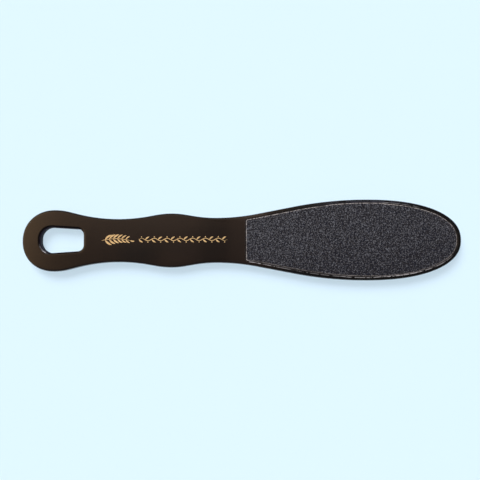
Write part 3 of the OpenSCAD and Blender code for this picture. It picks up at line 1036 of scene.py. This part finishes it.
def coat_patches(shape, low, high, top):
    """The grids of a grit coat: a wall from low to high, a rounded cut edge, and flat faces
    that run to the X axis. Top is 1 where the grains point up and -1 where they point down.
    Each grid comes with how pale its points are: the pale line begins at its margin from
    the cut edge and fades out over the last part of its width."""
    s = shape.sheet
    edge = rounding(s.edge_round, s.edge_round, FILLET_STEPS)
    rows = [[s.gap, low]]
    rows += [[s.gap + inset, high - top * drop] for inset, drop in edge[::-1]]
    rows += [[s.gap + inset, high] for inset in LINE_ROWS]
    inset = np.array(rows)[:, :1] - s.gap
    patches = []
    for side in (1, -1):
        wall = band(lambda gap: shape.coat_edge(gap, side), rows, side)
        cut_edge = shape.coat_edge(s.gap, side)
        along = inset - worn(cut_edge, side, MARGIN) * MM
        pale = (np.clip(1 + along / s.edge_round, 0, 1)
                * np.clip(LINE_PARTS * (1 - along / s.pale_edge), 0, 1)
                * worn(cut_edge, side, LINE))
        pale[0] *= LINE_FOOT_SHARE
        patches.append((wall, pale[:, :, None]))
        for z, row in ((low, 0), (high, -1)):
            spine = heights(spine_of(wall[row][:, :2] * [1, side]), z, side)
            faded = np.stack([pale[row], pale[row] * 0])
            patches.append((np.stack([wall[row], spine]), faded[:, :, None]))
    return patches


def scattered(shape, pitch, bare, rng):
    """Places on a sheet: a lattice whose every other row is shifted by half a step, jittered
    by up to a third of its pitch, and kept inside the sheet's edge. Also gives a tone from 0
    to 1 for each: the rank of a random number minus the mean of those round it, so that pale
    and dark ones stand side by side."""
    edge, lower = [shape.coat_edge(shape.sheet.gap + bare, side) for side in (1, -1)]
    lower[:, 1] -= worn(lower, -1, MARGIN) * MM
    row_step = pitch * math.sqrt(3) / 2
    x = np.arange(edge[-1, 0], edge[0, 0], pitch)
    y = np.arange(-lower[:, 1].max(), edge[:, 1].max(), row_step)
    gx, gy = np.meshgrid(x, y)
    gx = gx + (np.arange(len(y)) % 2)[:, None] * pitch / 2
    places = np.stack([gx.ravel(), gy.ravel()], 1)
    places += rng.uniform(-pitch / 3, pitch / 3, places.shape)
    drawn = rng.uniform(0, 1, gx.shape)
    around = range(-1, 2)
    column = sum(np.roll(drawn, step, 0) for step in around)
    near = sum(np.roll(column, step, 1) for step in around) / len(around) ** 2
    tone = np.argsort(np.argsort((drawn - near).ravel())) / drawn.size
    order = np.argsort(edge[:, 0])
    top = np.interp(places[:, 0], edge[order, 0], edge[order, 1])
    bottom = -np.interp(places[:, 0], lower[order, 0], lower[order, 1])
    inside = ((places[:, 0] > edge[-1, 0]) & (places[:, 0] < edge[0, 0])
              & (places[:, 1] < top) & (places[:, 1] > bottom))
    return places[inside], tone[inside]


def turned(corners, rng):
    """Turns each grain's corners by a random rotation, made from a unit quaternion."""
    q = rng.normal(size=(len(corners), 4))
    w, x, y, z = (q / np.linalg.norm(q, axis=1, keepdims=True)).T
    turn = np.array([[1 - 2 * (y * y + z * z), 2 * (x * y - w * z), 2 * (x * z + w * y)],
                     [2 * (x * y + w * z), 1 - 2 * (x * x + z * z), 2 * (y * z - w * x)],
                     [2 * (x * z - w * y), 2 * (y * z + w * x), 1 - 2 * (x * x + y * y)]])
    return np.einsum("ijn,nkj->nki", turn, corners)


def grains(places, radius, spread, sides, base_z, tip_z, rng):
    """Grains as bipyramids: an uneven ring of 3 or 4 corners between two apexes, turned any
    way, and squeezed so that each ends at tip_z or short of it and none goes past base_z."""
    count = len(places)
    turn = np.arange(sides) * 2 * math.pi / sides
    ring = np.stack([np.cos(turn), np.sin(turn), np.zeros(sides)], 1)
    unit = np.vstack([ring, [0, 0, 1], [0, 0, -1]])
    reach = radius * rng.lognormal(0, spread, (count, 1, 1))
    corners = unit * reach * rng.uniform(*CORNER_SHARES, (count, sides + 2, 1))
    corners = turned(corners, rng)
    tall = np.abs(corners[:, :, 2]).max(1)
    room = abs(tip_z - base_z) / 2
    half = np.minimum(tall, room * rng.uniform(*HEIGHT_SHARES, count))
    corners[:, :, 2] *= (half / tall)[:, None]
    short = (room - half) * rng.uniform(0, 1, count)
    up = 1 if tip_z > base_z else -1
    highest = (corners[:, :, 2] * up).max(1)
    corners[:, :, 2] += (tip_z - up * (short + highest))[:, None]
    corners[:, :, :2] += places[:, None]
    ring_next = [(i + 1) % sides for i in range(sides)]
    cell = [[i, j, sides] for i, j in enumerate(ring_next)]
    cell += [[j, i, sides + 1] for i, j in enumerate(ring_next)]
    faces = np.array(cell) + (np.arange(count) * (sides + 2))[:, None, None]
    return corners.reshape(-1, 3), faces.reshape(-1, 3)


def ribbon(spine, half, low, high):
    """The grids of a thin closed plate: a spine in the plane with a half width at each of
    its points, between two heights. The half width is 0 at both ends."""
    along = np.gradient(spine, axis=0)
    along /= np.linalg.norm(along, axis=1, keepdims=True)
    across = np.stack([-along[:, 1], along[:, 0]], 1) * half[:, None]
    edges = (spine + across, spine - across)
    corners = [np.column_stack([edge, np.full(len(edge), z)])
               for z in (low, high) for edge in edges]
    order = (0, 1, 3, 2, 0)
    return [np.stack([corners[a], corners[b]]) for a, b in zip(order, order[1:])]


def leaf(foot, turn, size, half, low, high):
    """A pointed leaf from its foot: its half width follows a power of the sine of the way
    along it, and its spine bows away from the stem with that sine."""
    t = np.linspace(0, 1, LEAF_STEPS + 1)
    bend = np.sign(turn) * LEAF_BOW_SHARE * np.sin(math.pi * t)
    local = size * np.stack([t, bend], 1)
    c, s = math.cos(turn), math.sin(turn)
    spine = np.array(foot) + local @ np.array([[c, s], [-s, c]])
    return ribbon(spine, half * np.sin(math.pi * t) ** LEAF_POWER, low, high)


def dot(centre, radius, low, high):
    """A round dot: a ribbon whose half width is that of a circle."""
    turn = np.linspace(0, math.pi, LEAF_STEPS + 1)
    spine = np.array(centre) + np.stack([-radius * np.cos(turn), np.zeros_like(turn)], 1)
    return ribbon(spine, radius * np.sin(turn), low, high)


def sprig_patches(s, low, high):
    """A sprig: a bowed stem with pairs of leaves that shrink towards its end."""
    def stem_at(t):
        """Points at shares of the stem, which bows with the sine of the share."""
        return np.stack([s.sprig_x + t * s.sprig_len,
                         s.centre_y + s.sprig_rise * (np.sin(math.pi * t) - 0.5)], -1)

    t = np.linspace(0, 1, STEM_STEPS + 1)
    stem_half = s.line_half * np.sin(math.pi * t) ** STEM_POWER
    patches = ribbon(stem_at(t), stem_half, low, high)
    for place in np.linspace(*PAIR_SHARES, LEAF_PAIRS):
        size = 1 - SHRINK_SHARE * place
        for turn in (PAIR_TURN, -PAIR_TURN):
            patches += leaf(stem_at(place), turn, s.leaf_len * size, s.leaf_half * size, low, high)
    end_len, end_half = np.array([s.leaf_len, s.leaf_half]) * END_LEAF_SHARES
    return patches + leaf(stem_at(np.array(1.0)), END_TURN, end_len, end_half, low, high)


def border_patches(s, low, high):
    """A vine border: a stem that waves with a sine and tapers at both ends. Each bow has a
    leaf on its hollow side and a dot over its crest."""
    def stem_at(t):
        """Points at shares of the stem, half a wave to each bow."""
        wave = s.border_rise * np.sin(t * VINE_BOWS * math.pi)
        return np.stack([s.border_x + t * s.border_len, s.centre_y + wave], -1)

    t = np.linspace(0, 1, VINE_BOWS * BOW_STEPS + 1)
    stem_half = s.line_half * np.minimum(1, VINE_TAPER * np.minimum(t, 1 - t))
    leaf_half = s.leaf_half * VINE_LEAF_SHARE
    patches = ribbon(stem_at(t), stem_half, low, high)
    for i in range(VINE_BOWS):
        hollow = 1 if i % 2 else -1
        foot = stem_at((i + VINE_LEAF_PLACE) / VINE_BOWS)
        patches += leaf(foot, hollow * VINE_TURN, s.border_leaf, leaf_half, low, high)
        crest = stem_at((i + 0.5) / VINE_BOWS) - [0, hollow * DOT_RADII * s.dot_r]
        patches += dot(crest, s.dot_r, low, high)
    return patches


# Operators

def shape_of(context):
    """The shape that the present sizes give."""
    sizes = context.scene.foot_file
    return Shape(sizes.handle, sizes.sheet)


def give_finish(node, finish):
    """Puts a finish on a CAD node that stays."""
    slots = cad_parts[node].data.materials
    slots.clear()
    slots.append(finish)


class FOOTFILE_OT_handle(bpy.types.Operator):
    """Build the one-piece moulded handle with its hole and two beds"""

    bl_idname = "footfile.handle"
    bl_label = "Moulded handle"

    def execute(self, context):
        sizes = context.scene.foot_file
        shape = shape_of(context)
        points, faces, marks = weld(handle_patches(shape))
        add_piece("moulded_handle", points, faces, moulded_plastic(sizes.colours, shape),
                  ["paddle_handle"], marks=dict(zip(MARKS, marks.T)))
        return {"FINISHED"}


class FOOTFILE_OT_ornament(bpy.types.Operator):
    """Press a gold foil sprig and border onto the front of the handle"""

    bl_idname = "footfile.ornament"
    bl_label = "Foil ornament"

    def execute(self, context):
        sizes = context.scene.foot_file
        s = sizes.ornament
        face_z = shape_of(context).face_z
        low, high = face_z - s.foil_depth, face_z + s.foil_t
        foil = gold_foil(sizes.colours)
        for name, patches in (("foil_sprig", sprig_patches(s, low, high)),
                              ("foil_border", border_patches(s, low, high))):
            points, faces, _ = weld([(patch, np.zeros((1, 1, 1))) for patch in patches])
            add_piece(name, points, faces, foil)
        return {"FINISHED"}


class FOOTFILE_OT_coarse_sheet(bpy.types.Operator):
    """Build the coarse grit coat of the front sheet"""

    bl_idname = "footfile.coarse_sheet"
    bl_label = "Coarse sheet"

    def execute(self, context):
        grit_coat(context, "front_grit", "coarse", 4, 1)
        return {"FINISHED"}


class FOOTFILE_OT_fine_sheet(bpy.types.Operator):
    """Build the fine grit coat of the rear sheet"""

    bl_idname = "footfile.fine_sheet"
    bl_label = "Fine sheet"

    def execute(self, context):
        grit_coat(context, "rear_grit", "fine", 3, -1)
        return {"FINISHED"}


def grit_coat(context, node, kind, sides, up):
    """Adds the resin coat and the grains of one sheet, between the heights of its CAD node.
    The grains' rings have as many corners as sides says, and up is 1 or -1."""
    sizes = context.scene.foot_file
    shape = shape_of(context)
    grit = sizes.grit
    low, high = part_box(node)
    base_z, tip_z = (low.z, high.z) if up > 0 else (high.z, low.z)
    surface_z = tip_z - up * sizes.sheet.coat_depth
    points, faces, pale = weld(coat_patches(shape, base_z, surface_z, up))
    add_piece(kind + "_coat", points, faces, resin_coat(sizes.colours), [node],
              marks={"cut_edge": pale[:, 0]})
    pitch = getattr(grit, kind + "_pitch")
    radius = getattr(grit, kind + "_r")
    rng = np.random.default_rng(grit.seed + sides)
    places, tone = scattered(shape, pitch, grit.bare_edge, rng)
    points, faces = grains(places, radius, grit.spread, sides, base_z, tip_z, rng)
    name = kind + "_grains"
    finish = grit_grains(name, sizes.colours, radius / 2)
    add_piece(name, points, faces, finish, [node], smooth=False,
              marks={"tone": np.repeat(tone, sides + 2)})


class FOOTFILE_OT_layers(bpy.types.Operator):
    """Give the backings and adhesive films, which stay CAD nodes, their finishes"""

    bl_idname = "footfile.layers"
    bl_label = "Backings and films"

    def execute(self, context):
        colours = context.scene.foot_file.colours
        cloth = woven_backing(colours)
        film = adhesive_film(colours)
        for face in ("front", "rear"):
            give_finish(face + "_backing", cloth)
            give_finish(face + "_adhesive", film)
        return {"FINISHED"}


def add_sun(name, turn, tilt, size, strength, tint=(1, 1, 1)):
    """A sun that comes from a direction: turn counts from +X and tilt from straight above."""
    light = bpy.data.lights.new(name, "SUN")
    light.angle = size
    light.energy = strength
    light.color = tint
    lamp = bpy.data.objects.new(name, light)
    towards = Vector((math.cos(turn) * math.sin(tilt), math.sin(turn) * math.sin(tilt),
                      math.cos(tilt)))
    lamp.rotation_euler = towards.to_track_quat("Z", "Y").to_euler()
    lamp.location = towards
    bpy.context.scene.collection.objects.link(lamp)
    return lamp


def add_lights(s):
    """A soft key from beyond the file, which casts the shadow, and an even fill without one,
    neither of which shows in reflections. A sheen and a warm glow from the hanging end that
    show in reflections only, and a dim sky."""
    full = s.exposure * math.pi
    key = add_sun("key", s.key_turn, s.key_tilt, s.key_size,
                  full * s.key_share / math.cos(s.key_tilt))
    fill = add_sun("fill", 0, 0, FILL_SIZE, full * (1 - s.key_share - s.sky_share))
    fill.data.use_shadow = False
    sheen = add_sun("sheen", s.sheen_turn, s.sheen_tilt, s.sheen_size, s.sheen, SHEEN_TINT)
    glow = add_sun("glow", s.glow_turn, s.glow_tilt, s.glow_size, s.glow, GLOW_TINT)
    for lamp in (key, fill):
        lamp.visible_glossy = False
    for lamp in (sheen, glow):
        lamp.visible_diffuse = False
    world = bpy.data.worlds.new("studio")
    world.use_nodes = True
    sky = world.node_tree.nodes["Background"]
    sky.inputs["Color"].default_value = SKY_TINT
    sky.inputs["Strength"].default_value = s.exposure * s.sky_share
    bpy.context.scene.world = world


def add_camera(s, middle_z):
    """The camera of the photograph: it stands off by camera_y, aims at the file's middle
    height, and is rolled about its line of sight."""
    camera = bpy.data.cameras.new("camera")
    camera.sensor_width = SENSOR_WIDTH
    camera.lens = camera.sensor_width / 2 / math.tan(s.field / 2)
    camera.clip_start = NEAR_LIMIT
    stand = bpy.data.objects.new("camera", camera)
    place = Vector((s.camera_x, s.camera_y, s.camera_z))
    back = (place - Vector((s.camera_x, s.aim_y, middle_z))).normalized()
    right = Vector((0, 1, 0)).cross(back).normalized()
    axes = Matrix((right, back.cross(right), back)).transposed()
    stand.matrix_world = (Matrix.Translation(place) @ axes.to_4x4()
                          @ Matrix.Rotation(-s.roll, 4, "Z"))
    bpy.context.scene.collection.objects.link(stand)
    bpy.context.scene.camera = stand


class FOOTFILE_OT_studio(bpy.types.Operator):
    """Lay the pale floor and set up the lights and the camera"""

    bl_idname = "footfile.studio"
    bl_label = "Studio"

    def execute(self, context):
        sizes = context.scene.foot_file
        s = sizes.studio
        half = s.floor_half
        mesh = bpy.data.meshes.new("floor")
        mesh.from_pydata([(-half, -half, 0), (half, -half, 0), (half, half, 0), (-half, half, 0)],
                         [], [(0, 1, 2, 3)])
        mesh.materials.append(pale_floor(sizes.colours))
        floor = bpy.data.objects.new("floor", mesh)
        context.scene.collection.objects.link(floor)
        add_lights(s)
        shape = shape_of(context)
        add_camera(s, (shape.back_z + shape.face_z) / 2)
        context.scene.view_settings.view_transform = "Standard"
        return {"FINISHED"}


class FOOTFILE_PT_sidebar(bpy.types.Panel):
    """Lists the pieces and the sizes that build the foot file"""

    bl_label = "Foot file"
    bl_idname = "FOOTFILE_PT_sidebar"
    bl_space_type = "VIEW_3D"
    bl_region_type = "UI"
    bl_category = "Foot file"

    def draw(self, context):
        for operator in OPERATORS:
            self.layout.operator(operator.bl_idname)
        sizes = context.scene.foot_file
        for group, name in GROUPS.items():
            box = self.layout.box()
            box.label(text=name.capitalize())
            for key in group.__annotations__:
                box.prop(getattr(sizes, name), key)


OPERATORS = (FOOTFILE_OT_studio, FOOTFILE_OT_handle, FOOTFILE_OT_ornament,
             FOOTFILE_OT_coarse_sheet, FOOTFILE_OT_fine_sheet, FOOTFILE_OT_layers)
GROUPS = {HandleSizes: "handle", SheetSizes: "sheet", GritSizes: "grit",
          OrnamentSizes: "ornament", Colours: "colours", StudioSizes: "studio"}
CLASSES = (*GROUPS, FootFile, *OPERATORS, FOOTFILE_PT_sidebar)


def register():
    for item in CLASSES:
        bpy.utils.register_class(item)
    bpy.types.Scene.foot_file = PointerProperty(type=FootFile)


def unregister():
    del bpy.types.Scene.foot_file
    for item in reversed(CLASSES):
        bpy.utils.unregister_class(item)


def main():
    """Registers the add-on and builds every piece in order."""
    register()
    bpy.ops.footfile.studio()
    bpy.ops.footfile.handle()
    bpy.ops.footfile.ornament()
    bpy.ops.footfile.coarse_sheet()
    bpy.ops.footfile.fine_sheet()
    bpy.ops.footfile.layers()


if __name__ == "__main__":
    main()
